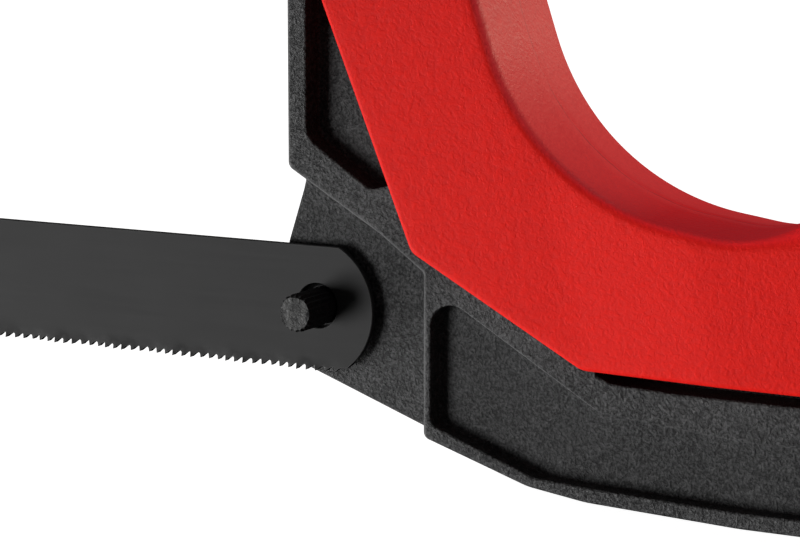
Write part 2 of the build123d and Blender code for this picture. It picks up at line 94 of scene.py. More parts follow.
# ------------------------------------------------------------------ outlines in the XZ plane
def outline(corners, step=0.6, arc=5.0):
    """Closed polyline through rounded corners (x, z, radius); arc is the largest turn, degrees."""
    count = len(corners)
    arcs = []
    for i in range(count):
        corner = np.array(corners[i][:2], float)
        radius = corners[i][2]
        back = np.array(corners[i - 1][:2], float) - corner
        ahead = np.array(corners[(i + 1) % count][:2], float) - corner
        back /= np.linalg.norm(back)
        ahead /= np.linalg.norm(ahead)
        half = 0.5 * math.acos(float(back @ ahead))
        tangent = radius / math.tan(half)
        bisector = (back + ahead) / np.linalg.norm(back + ahead)
        centre = corner + bisector * radius / math.sin(half)
        start = corner + back * tangent - centre
        end = corner + ahead * tangent - centre
        first = math.atan2(start[1], start[0])
        turn = (math.atan2(end[1], end[0]) - first + math.pi) % (2 * math.pi) - math.pi
        parts = max(abs(turn) / math.radians(arc), abs(turn) * radius / step)
        parts = max(2, int(math.ceil(parts)))
        angles = [first + turn * j / parts for j in range(parts + 1)]
        arcs.append([centre + radius * np.array([math.cos(a), math.sin(a)]) for a in angles])
    points = []
    for i in range(count):
        points.extend(arcs[i])
        start, end = arcs[i][-1], arcs[(i + 1) % count][0]
        parts = int(np.linalg.norm(end - start) / step)
        for j in range(1, parts):
            points.append(start + (end - start) * j / parts)
    points = np.array(points)
    distinct = np.linalg.norm(points - np.roll(points, 1, axis=0), axis=1) > 1e-4
    return points[distinct]


def circle(x, z, radius, count):
    """Points of a circle."""
    angles = np.linspace(0, 2 * math.pi, count, endpoint=False)
    return np.stack([x + radius * np.cos(angles), z + radius * np.sin(angles)], 1)


def turned(loop, hole):
    """The loop with the solid on its left, and mitred normals into the solid."""
    following = np.roll(loop, -1, axis=0)
    area = np.sum(loop[:, 0] * following[:, 1] - following[:, 0] * loop[:, 1])
    if (area > 0) == hole:
        loop = loop[::-1].copy()
    before = loop - np.roll(loop, 1, axis=0)
    after = np.roll(loop, -1, axis=0) - loop
    n_before = np.stack([-before[:, 1], before[:, 0]], 1)
    n_before /= np.linalg.norm(before, axis=1, keepdims=True)
    n_after = np.stack([-after[:, 1], after[:, 0]], 1)
    n_after /= np.linalg.norm(after, axis=1, keepdims=True)
    mitre = n_before + n_after
    mitre /= np.linalg.norm(mitre, axis=1, keepdims=True)
    shorten = np.clip(np.sum(mitre * n_before, axis=1), 0.6, 1.0)
    return loop, mitre / shorten[:, None]


def inside(polygon, points):
    """Which points lie in the polygon."""
    x, z = points[:, 0], points[:, 1]
    result = np.zeros(len(points), bool)
    for a, b in zip(polygon, np.roll(polygon, -1, axis=0)):
        if a[1] == b[1]:
            continue
        crossing = (b[0] - a[0]) * (z - a[1]) / (b[1] - a[1]) + a[0]
        result ^= ((a[1] > z) != (b[1] > z)) & (x < crossing)
    return result


def distance_to(polygon, points, batch=3000):
    """Distance of points from a closed polyline, and the nearest segment's index."""
    side = np.roll(polygon, -1, axis=0) - polygon
    distance = np.full(len(points), 1e9)
    nearest = np.zeros(len(points), int)
    for s in range(0, len(points), batch):
        p = points[s:s + batch]
        t = np.clip(((p[:, None, :] - polygon) * side).sum(2) / (side * side).sum(1), 0, 1)
        d = np.linalg.norm(polygon + t[..., None] * side - p[:, None, :], axis=2)
        nearest[s:s + batch] = d.argmin(1)
        distance[s:s + batch] = d.min(1)
    return distance, nearest


def smooth(t):
    """Smooth step from 0 to 1."""
    t = np.clip(t, 0, 1)
    return t * t * (3 - 2 * t)


def groove(along, pitch, width):
    """Depth from 0 to 1 of round grooves repeated along a direction."""
    phase = (along / pitch) % 1.0
    return np.exp(-((phase - 0.5) * pitch / width) ** 2)


def hex_grid(x0, x1, z0, z1, step):
    """Points in staggered rows."""
    rows = []
    z = z0
    while z <= z1:
        xs = np.arange(x0 + (len(rows) % 2) * step / 2, x1, step)
        rows.append(np.stack([xs, np.full_like(xs, z)], 1))
        z += step * 0.866
    return np.concatenate(rows)


def grid_over(polygon, step):
    """Staggered points over a polygon's bounding box."""
    (x0, z0), (x1, z1) = polygon.min(0), polygon.max(0)
    return hex_grid(x0, x1, z0, z1, step)


# ------------------------------------------------------------------ meshes
def triangulate(points, rings, borders, tolerance):
    """Triangles between borders[0] and the other borders, with the rings kept as edges.

    Gives the new points, the triangles, each new point's sources and a map from old to new.
    """
    edges = [(int(a), int(b)) for ring in rings for a, b in zip(ring, np.roll(ring, -1))]
    flat, _, faces, sources, _, _ = delaunay_2d_cdt(
        [Vector(p) for p in points], edges, [], 0, tolerance, True)
    flat = np.array([[v.x, v.y] for v in flat])
    faces = np.array([list(f) for f in faces])
    centres = flat[faces].mean(1)
    keep = inside(borders[0], centres)
    for hole in borders[1:]:
        keep &= ~inside(hole, centres)
    renumber = {old: new for new, olds in enumerate(sources) for old in olds}
    return flat, faces[keep], sources, renumber


def band(a, b):
    """Quads between two closed rings of vertex numbers."""
    following = [(j + 1) % len(a) for j in range(len(a))]
    return [(a[j], a[k], b[k], b[j]) for j, k in enumerate(following)]


def add_ring(verts, new):
    """Append vertices and give their numbers."""
    first = len(verts)
    verts.extend(new)
    return list(range(first, len(verts)))


def make_mesh(name, verts, faces, material, sharp=None):
    """A smooth shaded object from working millimetres; sharp is an edge angle in degrees."""
    mesh = bpy.data.meshes.new(name)
    mesh.from_pydata([tuple(v) for v in to_metres(verts)], [],
                     [tuple(int(i) for i in f) for f in faces])
    mesh.validate(verbose=False)
    bm = bmesh.new()
    bm.from_mesh(mesh)
    loose = [v for v in bm.verts if not v.link_faces]
    bmesh.ops.delete(bm, geom=loose, context="VERTS")
    bmesh.ops.recalc_face_normals(bm, faces=bm.faces)
    bm.to_mesh(mesh)
    bm.free()
    mesh.polygons.foreach_set("use_smooth", [True] * len(mesh.polygons))
    if sharp:
        mesh.set_sharp_from_angle(angle=math.radians(sharp))
    mesh.materials.append(material)
    ob = bpy.data.objects.new(name, mesh)
    scene.collection.objects.link(ob)
    return ob


def register(ob, body, replaced):
    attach(ob, body)
    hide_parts(replaced)


class Loop:
    """One border of a moulding; a blind recess also has a centre and a floor height."""

    def __init__(self, points, hole, radius_at, centre=None, floor=None):
        self.points, self.inward = turned(points, hole)
        self.radius = radius_at(self.points)
        self.hole, self.centre, self.floor = hole, centre, floor


ROUND_RINGS = 8         # rings across an edge rounding
RECESS_ROUND = 0.5      # edge rounding of the blind recesses
SEAM_DEPTH = 0.1        # step into the solid at the mid-plane seam
SEAM_START = 0.94       # part of the wall above the seam


def face_points(loops, grid, fine):
    """Jittered points that fill the flat face, clear of the edge roundings."""
    points = grid_over(loops[0].points, grid)
    if fine is not None:
        polygon, step = fine
        dense = grid_over(polygon, step)
        dense = dense[inside(polygon, dense)]
        points = points[~inside(polygon, points)]
        points = points[distance_to(polygon, points)[0] > step * 0.8]
        points = np.concatenate([points, dense])
    points = points + rng.uniform(-0.04, 0.04, points.shape) * grid
    keep = inside(loops[0].points, points)
    for loop in loops[1:]:
        keep &= ~inside(loop.points, points)
    points = points[keep]
    for loop in loops:
        distance, nearest = distance_to(loop.points, points)
        points = points[distance > loop.radius[nearest] + 0.4]
    return points


def moulded(name, outer, holes, height, radius_at, material, wall_rows, grid, wall,
            fine=None, recesses=(), far=None):
    """A moulded solid, the same on both sides of the mid-plane.

    holes: (corners, radius function). height(q): half thickness. radius_at(q): edge rounding.
    wall(q, t, hole): move of the side wall into the solid, t 0 at the rounding, 1 at mid-plane.
    fine: (polygon, step) of a denser part. recesses: (centre, radius, floor), blind, both sides.
    far(verts): last change to the vertices.
    """
    loops = [Loop(outline(outer), False, radius_at)]
    loops += [Loop(outline(corners), True, hole_radius) for corners, hole_radius in holes]
    for centre, radius, floor in recesses:
        loops.append(Loop(circle(*centre, radius, 48), True,
                          lambda q: np.full(len(q), RECESS_ROUND), centre, floor))
    # Rings of the edge rounding, each with its drop below the face
    points, drops, rings = [], [], []
    base = 0
    for loop in loops:
        for k, angle in enumerate(np.linspace(0, math.pi / 2, ROUND_RINGS)):
            move = loop.radius * (1 - math.cos(angle))
            points.append(loop.points + loop.inward * move[:, None])
            drops.append(loop.radius * (1 - math.sin(angle)))
            ring = base + np.arange(len(loop.points))
            base += len(ring)
            if k == 0:
                loop.edge_ring = ring
            if k in (0, ROUND_RINGS - 1):
                rings.append(ring)
    filling = face_points(loops, grid, fine)
    points = np.concatenate(points + [filling])
    drops = np.concatenate(drops + [np.zeros(len(filling))])
    flat, triangles, sources, renumber = triangulate(
        points, rings, [loop.points for loop in loops], 1e-6)
    y_face = height(flat) - np.array([drops[s[0]] if len(s) else 0.0 for s in sources])
    verts = [(p[0], -y, p[1]) for p, y in zip(flat, y_face)]
    faces = [tuple(f) for f in triangles]
    # Side walls down to the mid-plane, and the blind recesses
    depths = list(np.linspace(0, 1, wall_rows + 1)[1:] * SEAM_START) + [1.0]
    middle = set()
    for loop in loops:
        ring = [renumber[int(i)] for i in loop.edge_ring]
        if loop.floor is None:
            y_edge = np.array([y_face[i] for i in ring])
            for t in depths:
                move = wall(loop.points, t, loop.hole)
                if t == 1.0:
                    move = move + SEAM_DEPTH
                moved = loop.points + loop.inward * move[:, None]
                below = add_ring(verts, [(p[0], -y, p[1])
                                         for p, y in zip(moved, y_edge * (1 - t))])
                faces += band(ring, below)
                ring = below
            middle.update(ring)
        else:
            below = add_ring(verts, [(p[0], -loop.floor, p[1]) for p in loop.points])
            faces += band(ring, below)
            hub = len(verts)
            verts.append((loop.centre[0], -loop.floor, loop.centre[1]))
            faces += [(a, b, hub) for a, b in zip(below, below[1:] + below[:1])]
    # The far side, joined along the mid-plane
    mirrored = []
    both = list(verts)
    for i, (x, y, z) in enumerate(verts):
        if i in middle:
            mirrored.append(i)
        else:
            mirrored.append(len(both))
            both.append((x, -y, z))
    faces += [tuple(mirrored[i] for i in reversed(f)) for f in faces]
    both = np.array(both)
    if far:
        both = far(both)
    return make_mesh(name, both, faces, material)


# ------------------------------------------------------------------ shader node helpers
def grey(value):
    return (value, value, value)


def scaled(colour, factor):
    return tuple(c * factor for c in colour)


class Shading:
    """The emptied node tree of a material or world, with short calls that add nodes."""

    def __init__(self, owner, output="ShaderNodeOutputMaterial"):
        owner.use_nodes = True
        self.owner = owner
        self.tree = owner.node_tree
        self.tree.nodes.clear()
        self.output = self.node(output)

    def put(self, node, inputs):
        """Link or set inputs; colours are given without alpha."""
        for key, value in inputs.items():
            socket = node.inputs[key]
            if isinstance(value, bpy.types.NodeSocket):
                self.tree.links.new(value, socket)
            elif socket.type == "RGBA":
                socket.default_value = (*value, 1.0)
            else:
                socket.default_value = value

    def node(self, kind, inputs=None, **settings):
        node = self.tree.nodes.new(kind)
        for key, value in settings.items():
            setattr(node, key, value)
        self.put(node, inputs or {})
        return node

    def show(self, shader):
        self.put(self.output, {0: shader.outputs[0]})

    def geometry(self, output="Normal"):
        return self.node("ShaderNodeNewGeometry").outputs[output]

    def camera_ray(self):
        return self.node("ShaderNodeLightPath").outputs["Is Camera Ray"]

    def split(self, vector):
        return self.node("ShaderNodeSeparateXYZ", {0: vector}).outputs

    def stretch(self, vector, scale):
        return self.node("ShaderNodeMapping", {"Vector": vector, "Scale": scale}).outputs[0]

    def noise(self, vector, scale, detail=2.0, rough=0.5, distortion=0.0):
        return self.node("ShaderNodeTexNoise", {
            "Vector": vector, "Scale": scale, "Detail": detail, "Roughness": rough,
            "Distortion": distortion}).outputs["Fac"]

    def ramp(self, value, over, to=(0.0, 1.0)):
        """Map the range over to the range to, clamped."""
        return self.node("ShaderNodeMapRange", {
            "Value": value, "From Min": over[0], "From Max": over[1],
            "To Min": to[0], "To Max": to[1]}).outputs[0]

    def math(self, operation, *values):
        return self.node("ShaderNodeMath", dict(enumerate(values)),
                         operation=operation).outputs[0]

    def add(self, a, b):
        return self.math("ADD", a, b)

    def mul(self, a, b):
        return self.math("MULTIPLY", a, b)

    def mix(self, factor, a, b, blend="MIX"):
        return self.node("ShaderNodeMix", {0: factor, 6: a, 7: b},
                         data_type="RGBA", blend_type=blend).outputs[2]

    def bump(self, height, depth, strength=1.0):
        return self.node("ShaderNodeBump", {
            "Height": height, "Distance": depth, "Strength": strength}).outputs[0]

    def worn_edges(self, radius, over):
        """1 on sharp edges: how far a rounded normal leaves the true one."""
        rounded = self.node("ShaderNodeBevel", {"Radius": radius}, samples=4).outputs[0]
        dot = self.node("ShaderNodeVectorMath", {0: rounded, 1: self.geometry()},
                        operation="DOT_PRODUCT").outputs["Value"]
        return self.ramp(dot, over=over)


class Surface(Shading):
    """A new material with a principled shader and object coordinates."""

    def __init__(self, name):
        super().__init__(bpy.data.materials.new(name))
        self.bsdf = self.node("ShaderNodeBsdfPrincipled")
        self.show(self.bsdf)
        self.coords = self.node("ShaderNodeTexCoord").outputs["Object"]

    def finish(self, inputs):
        """Set the principled shader's inputs and give the material."""
        self.put(self.bsdf, inputs)
        return self.owner


# ------------------------------------------------------------------ materials
def coat_material(name, base, light, grain, depth, rough, specular):
    """Textured powder coat: small pits and nubs, paler on the edges (wear and painted highlight),
    faces towards the low side light painted paler.
    """
    s = Surface(name)
    v = s.coords
    fine = s.noise(v, scale=grain, detail=2.5, rough=0.6, distortion=0.4)
    coarse = s.noise(v, scale=grain * 0.42, distortion=0.8)
    cells = s.node("ShaderNodeTexVoronoi", {
        "Vector": v, "Scale": grain * 0.62, "Smoothness": 0.5, "Randomness": 1.0,
    }, feature="SMOOTH_F1").outputs["Distance"]
    relief = s.add(s.mul(fine, 1.0), s.mul(s.math("SUBTRACT", 1.0, cells), 0.28))
    relief = s.add(relief, s.mul(coarse, 0.55))
    normal = s.bump(relief, depth=depth)
    patches = s.noise(v, scale=70.0, detail=3.0)
    colour = s.mix(s.ramp(relief, over=(0.80, 1.18)), base, light)
    colour = s.mix(s.ramp(patches, over=(0.35, 0.7), to=(0.0, 0.22)), colour,
                   scaled(light, 1.25))
    # Edge wear mixed with painted highlight: convex edges are made paler, for the light lines that
    # the fillets catch
    worn = s.mul(s.worn_edges(radius=0.00035, over=(0.985, 0.80)),
                 s.ramp(s.noise(v, scale=900.0, detail=3.0), over=(0.42, 0.62), to=(0.15, 1.0)))
    colour = s.mix(s.mul(worn, 0.75), colour, (0.13, 0.13, 0.131))
    # Painted highlight: faces that look down and forward are paler, as if lit by the low light
    # from that side
    facing = s.split(s.geometry())
    painted_side_light = s.mul(s.ramp(facing["X"], over=(-0.18, -0.50)),
                   s.ramp(facing["Z"], over=(0.10, -0.10)))
    colour = s.mix(s.mul(painted_side_light, 0.65), colour, (0.19, 0.19, 0.192))
    return s.finish({
        "Normal": normal,
        "Base Color": colour,
        "Roughness": s.ramp(fine, over=(0.3, 0.7), to=(rough - 0.07, rough + 0.12)),
        "Specular IOR Level": specular})


SEAM_Y = 0.00342        # place of the witness line, metres
SEAM_WANDER = 0.00016   # how far it strays to either side, metres


def red_material(name):
    """Soft red moulding: fine matt grain, slight mottling."""
    s = Surface(name)
    v = s.coords
    fine = s.noise(v, scale=2400.0, detail=2.5, rough=0.6, distortion=0.5)
    relief = s.add(fine, s.mul(s.noise(v, scale=900.0), 0.5))
    normal = s.bump(relief, depth=0.000075)
    patches = s.noise(v, scale=45.0, detail=3.0)
    colour = s.mix(s.ramp(relief, over=(0.5, 1.0)),
                   (0.66, 0.0075, 0.0055), (0.80, 0.0125, 0.0075))
    colour = s.mix(s.ramp(patches, over=(0.35, 0.65), to=(0.0, 0.30)), colour,
                   (0.80, 0.012, 0.008))
    # Painted shade: a little darker with height, as the light falls off towards the top
    painted_height_shade = s.ramp(s.split(v)["Z"], over=(0.0, 0.05), to=(1.09, 0.93))
    painted_height_shade = s.node("ShaderNodeCombineColor", {0: painted_height_shade, 1: painted_height_shade, 2: painted_height_shade}).outputs[0]
    colour = s.mix(1.0, colour, painted_height_shade, blend="MULTIPLY")
    # Darker to all but camera rays: keeps the red from flooding the black pockets next to it
    camera_ray = s.camera_ray()
    colour = s.mix(camera_ray, s.mix(1.0, colour, grey(0.18), blend="MULTIPLY"), colour)
    place = s.split(v)
    facing = s.split(s.geometry())
    # Thin dark witness line where the two halves of the mould met
    wander = s.ramp(s.noise(v, scale=420.0, detail=3.0), over=(0.3, 0.7),
                    to=(-SEAM_WANDER - SEAM_Y, SEAM_WANDER - SEAM_Y))
    offset = s.add(place["Y"], wander)
    # ABSOLUTE reads only its first value
    line = s.ramp(s.math("ABSOLUTE", offset, 0.0), over=(0.00004, 0.00016), to=(1.0, 0.0))
    line = s.mul(line, s.ramp(s.math("ABSOLUTE", facing["Y"], 0.0),
                              over=(0.35, 0.6), to=(1.0, 0.0)))
    line = s.mul(line, s.ramp(s.noise(v, scale=240.0), over=(0.38, 0.55), to=(0.35, 1.0)))
    colour = s.mix(s.mul(line, 0.55), colour, (0.17, 0.006, 0.006))
    roughness = s.ramp(fine, over=(0.3, 0.7), to=(0.54, 0.66))
    # A glow for light carried round inside the opening by the red walls themselves
    turn = s.ramp(facing["Y"], over=(-0.97, -0.72))
    side = s.math("MAXIMUM", s.ramp(facing["X"], over=(0.0, 0.35)),
                  s.ramp(facing["Z"], over=(0.0, 0.35)))
    glow = s.mul(s.mul(turn, side), camera_ray)
    # Gloss set by facing, as a lighting aid: broad faces are kept matt so the key light leaves no
    # sheen on them; walls that face the rear get more sheen from the back light
    sheen = s.add(s.ramp(facing["X"], over=(0.25, 0.85), to=(0.09, 1.35)),
                  s.ramp(facing["Y"], over=(0.01, 0.08), to=(0.0, 0.30)))
    return s.finish({
        "Normal": normal,
        "Base Color": colour,
        "Roughness": roughness,
        "Emission Color": (0.165, 0.0055, 0.0090),
        "Emission Strength": glow,
        "Specular IOR Level": sheen})


def metal_material(name, colour, rough, worn_colour, brushed=None):
    """Bare metal with brighter edges; brushed stretches the fine grain."""
    s = Surface(name)
    v = s.coords
    grain_coords = s.stretch(v, brushed) if brushed else v
    fine = s.noise(grain_coords, scale=1600.0, detail=3.0, rough=0.6)
    patches = s.noise(v, scale=160.0, detail=3.0, rough=0.55)
    tone = s.mix(s.ramp(patches, over=(0.3, 0.7)), scaled(colour, 0.85), colour)
    worn = s.mul(s.worn_edges(radius=0.00025, over=(0.98, 0.80)),
                 s.ramp(s.noise(v, scale=1200.0, detail=3.0), over=(0.40, 0.60), to=(0.2, 1.0)))
    tone = s.mix(s.mul(worn, 0.5), tone, worn_colour)
    return s.finish({
        "Base Color": tone,
        "Roughness": s.add(s.ramp(fine, over=(0.3, 0.7), to=(rough - 0.06, rough + 0.06)),
                           s.mul(patches, 0.06)),
        "Metallic": 1.0,
        "Normal": s.bump(fine, depth=0.00002, strength=0.25)})


def blade_material(name):
    """Black oxide on ground strip: satin, with faint grinding, brighter sharp edges (wear and
    painted highlight) and painted shade on the tooth flanks.
    """
    s = Surface(name)
    v = s.coords
    grinding = s.noise(s.stretch(v, (60.0, 900.0, 2600.0)), scale=1.0, detail=3.0, rough=0.6)
    patches = s.noise(v, scale=120.0, detail=3.0, rough=0.55)
    fine = s.noise(v, scale=2600.0)
    colour = s.mix(s.ramp(patches, over=(0.3, 0.7)),
                   (0.0300, 0.0300, 0.0302), (0.0330, 0.0330, 0.0332))
    colour = s.mix(s.ramp(grinding, over=(0.45, 0.75), to=(0.0, 0.10)), colour, grey(0.040))
    # Sharp edges paler: worn oxide and a painted highlight for the light lines along the edges
    worn = s.mul(s.worn_edges(radius=0.00012, over=(0.98, 0.78)), 0.6)
    colour = s.mix(worn, colour, grey(0.16))
    # Painted shade: the flanks of the teeth are made near black and without gloss
    facing_y = s.split(s.geometry("True Normal"))["Y"]
    height = s.split(v)["Z"]
    painted_flank_shade = s.mul(s.ramp(s.math("ABSOLUTE", facing_y), over=(0.25, 0.6), to=(1.0, 0.0)),
                  s.ramp(height, over=(-0.0056, -0.0052), to=(1.0, 0.0)))
    colour = s.mix(painted_flank_shade, colour, grey(0.002))
    return s.finish({
        "Base Color": colour,
        "Roughness": s.ramp(grinding, over=(0.3, 0.7), to=(0.50, 0.56)),
        "Normal": s.bump(s.add(grinding, s.mul(fine, 0.4)), depth=0.000003, strength=0.4),
        "Specular IOR Level": s.ramp(painted_flank_shade, over=(0.0, 1.0), to=(0.10, 0.0))})


def pin_material(name):
    """Black pin with a rough lighter cut end."""
    s = Surface(name)
    v = s.coords
    facing_y = s.split(s.geometry("True Normal"))["Y"]
    end = s.ramp(facing_y, over=(-0.45, -0.75))
    # Only the free end is cut, not the shoulder the blade sits on
    end = s.mul(end, s.ramp(s.split(v)["Y"], over=(-0.0045, -0.0040), to=(1.0, 0.0)))
    # The rear side of the cut is darker. Past x = -0.15 m the front pin's own axis is the
    # zero, 0.3007 m forward.
    x = s.split(v)["X"]
    across = s.add(x, s.mul(s.math("LESS_THAN", x, -0.15), 0.3007))
    across = s.add(across, s.ramp(s.noise(v, scale=900.0), over=(0.3, 0.7),
                                  to=(-0.00025, 0.00025)))
    end = s.mul(end, s.ramp(across, over=(0.00118, 0.00138), to=(1.0, 0.0)))
    coarse = s.noise(v, scale=1700.0, detail=3.0, rough=0.6)
    fine = s.noise(v, scale=5000.0)
    side_colour = s.mix(s.ramp(coarse, over=(0.35, 0.65)),
                        (0.010, 0.010, 0.011), (0.022, 0.022, 0.023))
    end_colour = s.mix(s.ramp(coarse, over=(0.38, 0.62)), grey(0.026), (0.095, 0.095, 0.094))
    return s.finish({
        "Base Color": s.mix(end, side_colour, end_colour),
        "Roughness": s.ramp(coarse, over=(0.3, 0.7), to=(0.5, 0.7)),
        "Normal": s.bump(s.add(coarse, s.mul(fine, 0.4)), depth=0.00022),
        "Specular IOR Level": 0.2})


def plastic_material(name, colour, rough):
    """Finely grained plastic with slightly paler edges."""
    s = Surface(name)
    v = s.coords
    fine = s.noise(v, scale=1800.0, detail=2.5, rough=0.55)
    patches = s.noise(v, scale=140.0, detail=3.0)
    tone = s.mix(s.ramp(patches, over=(0.3, 0.7)), scaled(colour, 0.85), colour)
    edges = s.mul(s.worn_edges(radius=0.0003, over=(0.98, 0.8)), 0.25)
    tone = s.mix(edges, tone, tuple(min(1, c * 1.6 + 0.01) for c in colour))
    return s.finish({
        "Base Color": tone,
        "Roughness": s.ramp(fine, over=(0.3, 0.7), to=(rough - 0.05, rough + 0.08)),
        "Normal": s.bump(fine, depth=0.00003)})


MATERIALS = {
    "black_casting": coat_material(
        "black_powder_coat", base=(0.0125, 0.0125, 0.0129), light=(0.094, 0.094, 0.095),
        grain=4300.0, depth=0.00022, rough=0.50, specular=0.26),
    "tube_steel": coat_material(
        "tube_powder_coat", base=(0.024, 0.024, 0.0245), light=(0.044, 0.044, 0.045),
        grain=3400.0, depth=0.00004, rough=0.42, specular=0.3),
    "red_grip": red_material("red_soft_grip"),
    "blade_steel": blade_material("blade_oxide"),
    "fastener_steel": metal_material(
        "zinc_steel", (0.50, 0.50, 0.52), rough=0.34, worn_colour=grey(0.8)),
    "carrier_steel": metal_material(
        "carrier_steel", (0.42, 0.42, 0.43), rough=0.38, worn_colour=grey(0.75),
        brushed=(0.05, 1.0, 1.0)),
    "pin_steel": pin_material("pin_black"),
    "bush_brass": metal_material(
        "bush_brass", (0.66, 0.47, 0.20), rough=0.34, worn_colour=(0.85, 0.68, 0.36)),
    "black_plastic": plastic_material("black_nylon", (0.020, 0.020, 0.021), rough=0.42),
    "red_plastic": plastic_material("red_plastic", (0.60, 0.010, 0.008), rough=0.34),
}
# Near black and matt: the washers' own black taken down to painted shade, and painted shade on the
# walls inside the blade's bores
WASHER_AND_BORE_SHADE_BLACK = coat_material(
    "washer_and_bore_shade_black", base=grey(0.003), light=grey(0.006),
    grain=3000.0, depth=0.00002, rough=0.85, specular=0.0)

for part in frame["record"]["subparts"]:
    is_washer = part["node"].endswith("seat_washer")
    slots = frame["nodes"][part["node"]].data.materials
    slots.clear()
    slots.append(WASHER_AND_BORE_SHADE_BLACK if is_washer else MATERIALS[part["material_slot"]])

# ------------------------------------------------------------------ soft grip
# Corners: x, z, corner radius
GRIP_OUTLINE = [
    (13.2, 7.31, 1.8), (-23.5, 96.4, 7.0), (-34.0, 97.2, 1.5), (-34.0, 128.4, 2.5),
    (40.0, 129.4, 20.0), (66.0, 124.0, 9.0), (71.5, 108.0, 8.0), (66.0, 94.0, 24.0),
    (96.5, 17.0, 30.0), (101.0, 1.5, 6.0), (94.0, -2.9, 3.0), (31.2, -2.5, 2.5),
]
OPENING = [(26.2, 13.8, 23.7), (66.4, 7.8, 13.0), (33.0, 92.0, 15.0), (-0.1, 92.0, 9.0)]
PALM_SWELL = [(71.5, 17.0, 7.0), (92.0, 17.0, 9.0), (64.5, 89.0, 9.0), (43.0, 89.0, 7.0)]
GRIP_RECESSES = [((-22.0, 113.0), 5.6, 6.9), ((14.0, 113.0), 5.6, 6.9)]
GRIP_SLOPE = 0.396      # forward lean of the handle, x per z
EDGE_ROUND = 0.6        # smallest edge rounding of the grip
FAR_LEAN = 0.75         # draft of the opening's far wall

swell_polygon = outline(PALM_SWELL, 1.0, 8.0)
opening_loop, opening_inward = turned(outline(OPENING), True)


def behind(q, start):
    """Distance along X behind the leaning line that meets z = 0 at start."""
    return q[:, 0] + GRIP_SLOPE * q[:, 1] - start


def rear_weight(q):
    """1 along the rear edge of the handle, 0 elsewhere."""
    return smooth(behind(q, 95.0) / 6.0) * smooth((q[:, 1] - 2.0) / 14.0)


def grip_radius(q):
    """Full rounding at the rear edge, a medium one round the top."""
    top = EDGE_ROUND + 1.7 * smooth((q[:, 1] - 98.5) / 6.0)
    return np.maximum(EDGE_ROUND + 5.2 * rear_weight(q), top)


def opening_radius(q):
    """The rounding grows towards the rear of the opening."""
    return 1.05 + 3.15 * smooth(behind(q, 52.0) / 12.0)


def grip_height(q):
    """Half thickness: a faint facet low down, and the ribbed palm swell."""
    x, z = q[:, 0], q[:, 1]
    past_facet = (x - 27.97) * 0.978 + (z - 14.65) * 0.2095
    facet = 0.060 * np.clip(past_facet, 0, 13) * smooth((60 - z) / 25.0)
    depth_in, _ = distance_to(swell_polygon, q)
    depth_in = np.where(inside(swell_polygon, q), depth_in, 0.0)
    swell = 2.75 * smooth(depth_in / 7.5)
    ribs = groove(z * 0.93 - x * 0.37, pitch=3.4, width=0.42)
    return np.full(len(q), GRIP_HALF) + facet + swell - 0.38 * ribs * smooth(
        (depth_in - 3.0) / 1.6)


def grip_wall(q, t, hole):
    """Walls bulge slightly outwards to the mid-plane, most at the rear of the handle."""
    if hole:
        return np.full(len(q), -0.22 * t)
    return np.full(len(q), -0.25 * t) * 0 - 0.9 * rear_weight(q) * math.sin(t * math.pi / 2)


def grip_wall_move(q, t, hole):
    """The opening's wall grows evenly into the opening, the outer wall only at the rear."""
    if hole:
        return np.full(len(q), -0.22 * t)
    return -0.9 * rear_weight(q) * math.sin(t * math.pi / 2)


def lean_far_wall(verts):
    """Move the far half of the opening's wall into the solid."""
    far = np.where(verts[:, 1] > 0.02)[0]
    distance, nearest = distance_to(opening_loop, verts[far][:, [0, 2]])
    lean = FAR_LEAN * np.clip(verts[far, 1] / GRIP_HALF, 0, 1) * smooth((4.0 - distance) / 4.0)
    verts[far, 0] += opening_inward[nearest, 0] * lean
    verts[far, 2] += opening_inward[nearest, 1] * lean
    return verts


grip = moulded(
    "handle_grip_moulding", GRIP_OUTLINE, [(OPENING, opening_radius)], grip_height, grip_radius,
    MATERIALS["red_grip"], wall_rows=4, grid=1.3, wall=grip_wall_move,
    fine=(outline(PALM_SWELL, 1.5, 10.0), 0.62), recesses=GRIP_RECESSES, far=lean_far_wall)
register(grip, "frame", "handle_grip")

# ------------------------------------------------------------------ front pad
# Corners: x, z, corner radius
PAD_OUTLINE = [
    (-334.6, 24.0, 6.0), (-330.5, 21.0, 1.0), (-319.0, 21.0, 5.0), (-315.5, 34.0, 30.0),
    (-315.5, 84.0, 14.0), (-322.0, 95.5, 2.0), (-334.6, 95.5, 3.0),
]
PAD_RIB_START, PAD_RIB_PITCH, PAD_RIB_DEPTH = 24.0, 5.2, 0.55


def pad_height(q):
    """Half thickness with grooves that fade out before the edges."""
    x, z = q[:, 0], q[:, 1]
    ribs = groove(z - PAD_RIB_START, PAD_RIB_PITCH, width=0.55)
    ribs = ribs * smooth((z - 28) / 3) * smooth((91 - z) / 3)
    ribs = ribs * smooth((x + 332.2) / 1.2) * smooth((-318.2 - x) / 1.2)
    return np.full(len(q), GRIP_HALF) - PAD_RIB_DEPTH * ribs


def pad_radius(q):
    """A larger rounding along the front edge."""
    x, z = q[:, 0], q[:, 1]
    front = smooth((-330.0 - x) / 3.0) * smooth((z - 22) / 6.0) * smooth((96.5 - z) / 4.0)
    return np.full(len(q), 1.0) + 1.6 * front


def pad_wall(q, t, hole):
    """The grooves run on across the front wall."""
    x, z = q[:, 0], q[:, 1]
    ribs = groove(z - PAD_RIB_START, PAD_RIB_PITCH, width=0.7)
    ribs = ribs * smooth((z - 31) / 3) * smooth((89 - z) / 3)
    return smooth((-333.5 - x) / 0.8) * (PAD_RIB_DEPTH * ribs * smooth(t * 2.0))


